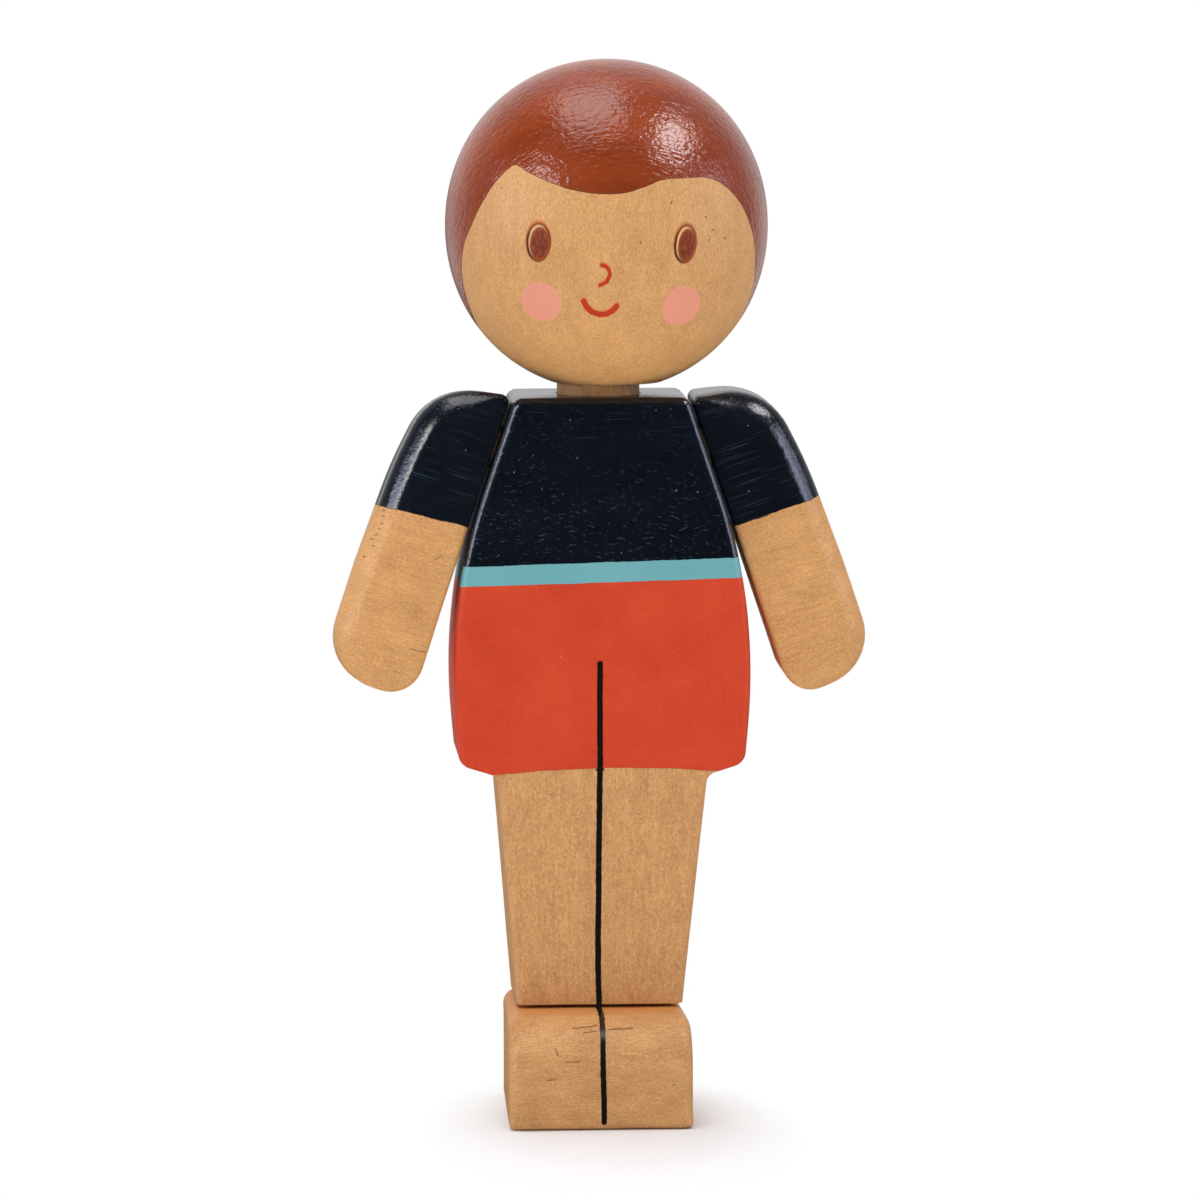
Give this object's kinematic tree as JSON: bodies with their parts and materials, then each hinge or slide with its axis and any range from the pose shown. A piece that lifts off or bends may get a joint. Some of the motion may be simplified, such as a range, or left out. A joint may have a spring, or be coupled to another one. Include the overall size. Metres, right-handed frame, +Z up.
{
  "type": "wooden toy figure",
  "caption": "Standing wooden toy figure with a painted ball head, a flat-cut body, two swinging arms and a feet block with a rounded toe edge.",
  "frame": {"origin": "on the floor, under the neck's axis, at the middle of the figure's bottom", "axes": "+Z up along the neck's axis, -Y the way the figure faces, +X to the figure's own left"},
  "size_m": [0.0496, 0.03, 0.098],
  "materials": {
    "painted_head": "turned hardwood in a skin-coloured stain, with glossy red-brown painted hair and a painted face",
    "painted_body": "sanded hardwood: glossy navy paint on the torso, a teal waist stripe, satin orange-red shorts and stained legs",
    "painted_arm": "sanded hardwood in a skin-coloured stain with a glossy navy sleeve",
    "stained_wood": "sanded hardwood in a satin skin-coloured stain",
    "bare_dowel": "bare hardwood dowel"
  },
  "bodies": {
    "figure": {"body_block": "painted_body", "feet_block": "stained_wood", "left_foot_dowel": "bare_dowel", "right_foot_dowel": "bare_dowel"},
    "head": {"head_ball": "painted_head", "neck_dowel": "stained_wood"},
    "left_arm": {"left_arm": "painted_arm", "left_shoulder_pin": "bare_dowel"},
    "right_arm": {"right_arm": "painted_arm", "right_shoulder_pin": "bare_dowel"}
  },
  "joints": [
    {"name": "head_turn", "type": "hinge", "parent": "figure", "child": "head", "pos_m": [0, 0, 0.067], "axis": [0, 0, 1], "continuous": true},
    {"name": "left_arm_swing", "type": "hinge", "parent": "figure", "child": "left_arm", "pos_m": [0.01026, 0, 0.06213], "axis": [-0.9483, 0, -0.3173], "range_deg": [-112, 114]},
    {"name": "right_arm_swing", "type": "hinge", "parent": "figure", "child": "right_arm", "pos_m": [-0.01026, 0, 0.06213], "axis": [-0.9483, 0, 0.3173], "range_deg": [-118, 108]}
  ]
}
